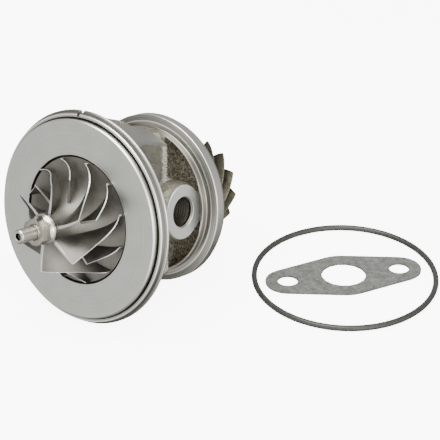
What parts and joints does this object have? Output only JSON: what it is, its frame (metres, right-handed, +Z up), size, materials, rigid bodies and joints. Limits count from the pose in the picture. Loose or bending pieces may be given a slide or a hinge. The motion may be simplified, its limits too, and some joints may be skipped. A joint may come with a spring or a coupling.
{
  "type": "turbocharger centre cartridge",
  "caption": "Small turbocharger centre cartridge with compressor and turbine wheels on a spinning shaft, lying beside its flange O-ring and oil drain gasket.",
  "frame": {"origin": "on the ground, under the middle of the cartridge and its loose seals", "axes": "+X to the right in the picture, from the cartridge to the loose seals; +Y away from the viewer; +Z up"},
  "size_m": [0.142, 0.0772, 0.0674],
  "materials": {
    "bearing_housing": "sand-cast neck with machined flanges",
    "compressor_insert": "turned",
    "insert_snap_ring": "spring steel",
    "insert_o_ring": "moulded",
    "oil_deflector": "pressed sheet",
    "thrust_bearing": "machined bronze",
    "thrust_pin_1": "ground",
    "thrust_pin_2": "ground",
    "bearing_circlip_1": "spring steel",
    "bearing_circlip_2": "spring steel",
    "bearing_circlip_3": "spring steel",
    "bearing_circlip_4": "spring steel",
    "compressor_piston_ring": "ground",
    "turbine_piston_ring": "ground",
    "heat_shield": "pressed heat-resisting sheet",
    "flange_o_ring": "moulded, matt",
    "drain_gasket": "punched fibre sheet",
    "compressor_wheel": "milled, satin",
    "compressor_nut": "turned",
    "shaft": "ground",
    "thrust_sleeve": "ground",
    "thrust_ring": "ground",
    "turbine_wheel": "investment-cast nickel alloy, heat-stained",
    "journal_bearing_front": "machined bronze",
    "journal_bearing_rear": "machined bronze"
  },
  "bodies": {
    "housing": {"bearing_housing": "bearing_housing", "compressor_insert": "compressor_insert", "insert_snap_ring": "insert_snap_ring", "insert_o_ring": "insert_o_ring", "oil_deflector": "oil_deflector", "thrust_bearing": "thrust_bearing", "thrust_pin_1": "thrust_pin_1", "thrust_pin_2": "thrust_pin_2", "bearing_circlip_1": "bearing_circlip_1", "bearing_circlip_2": "bearing_circlip_2", "bearing_circlip_3": "bearing_circlip_3", "bearing_circlip_4": "bearing_circlip_4", "compressor_piston_ring": "compressor_piston_ring", "turbine_piston_ring": "turbine_piston_ring", "heat_shield": "heat_shield", "flange_o_ring": "flange_o_ring", "drain_gasket": "drain_gasket"},
    "rotor": {"shaft": "shaft", "turbine_wheel": "turbine_wheel", "thrust_ring": "thrust_ring", "thrust_sleeve": "thrust_sleeve", "compressor_wheel": "compressor_wheel", "compressor_nut": "compressor_nut"},
    "front_bearing": {"journal_bearing_front": "journal_bearing_front"},
    "rear_bearing": {"journal_bearing_rear": "journal_bearing_rear"}
  },
  "joints": [
    {"name": "rotor_spin", "type": "hinge", "parent": "housing", "child": "rotor", "pos_m": [-0.04571, -0.01762, 0.03433], "axis": [-0.6249, -0.758, 0.187], "continuous": true},
    {"name": "front_bearing_spin", "type": "hinge", "parent": "housing", "child": "front_bearing", "pos_m": [-0.04571, -0.01762, 0.03433], "axis": [-0.6249, -0.758, 0.187], "continuous": true},
    {"name": "rear_bearing_spin", "type": "hinge", "parent": "housing", "child": "rear_bearing", "pos_m": [-0.04571, -0.01762, 0.03433], "axis": [-0.6249, -0.758, 0.187], "continuous": true}
  ]
}
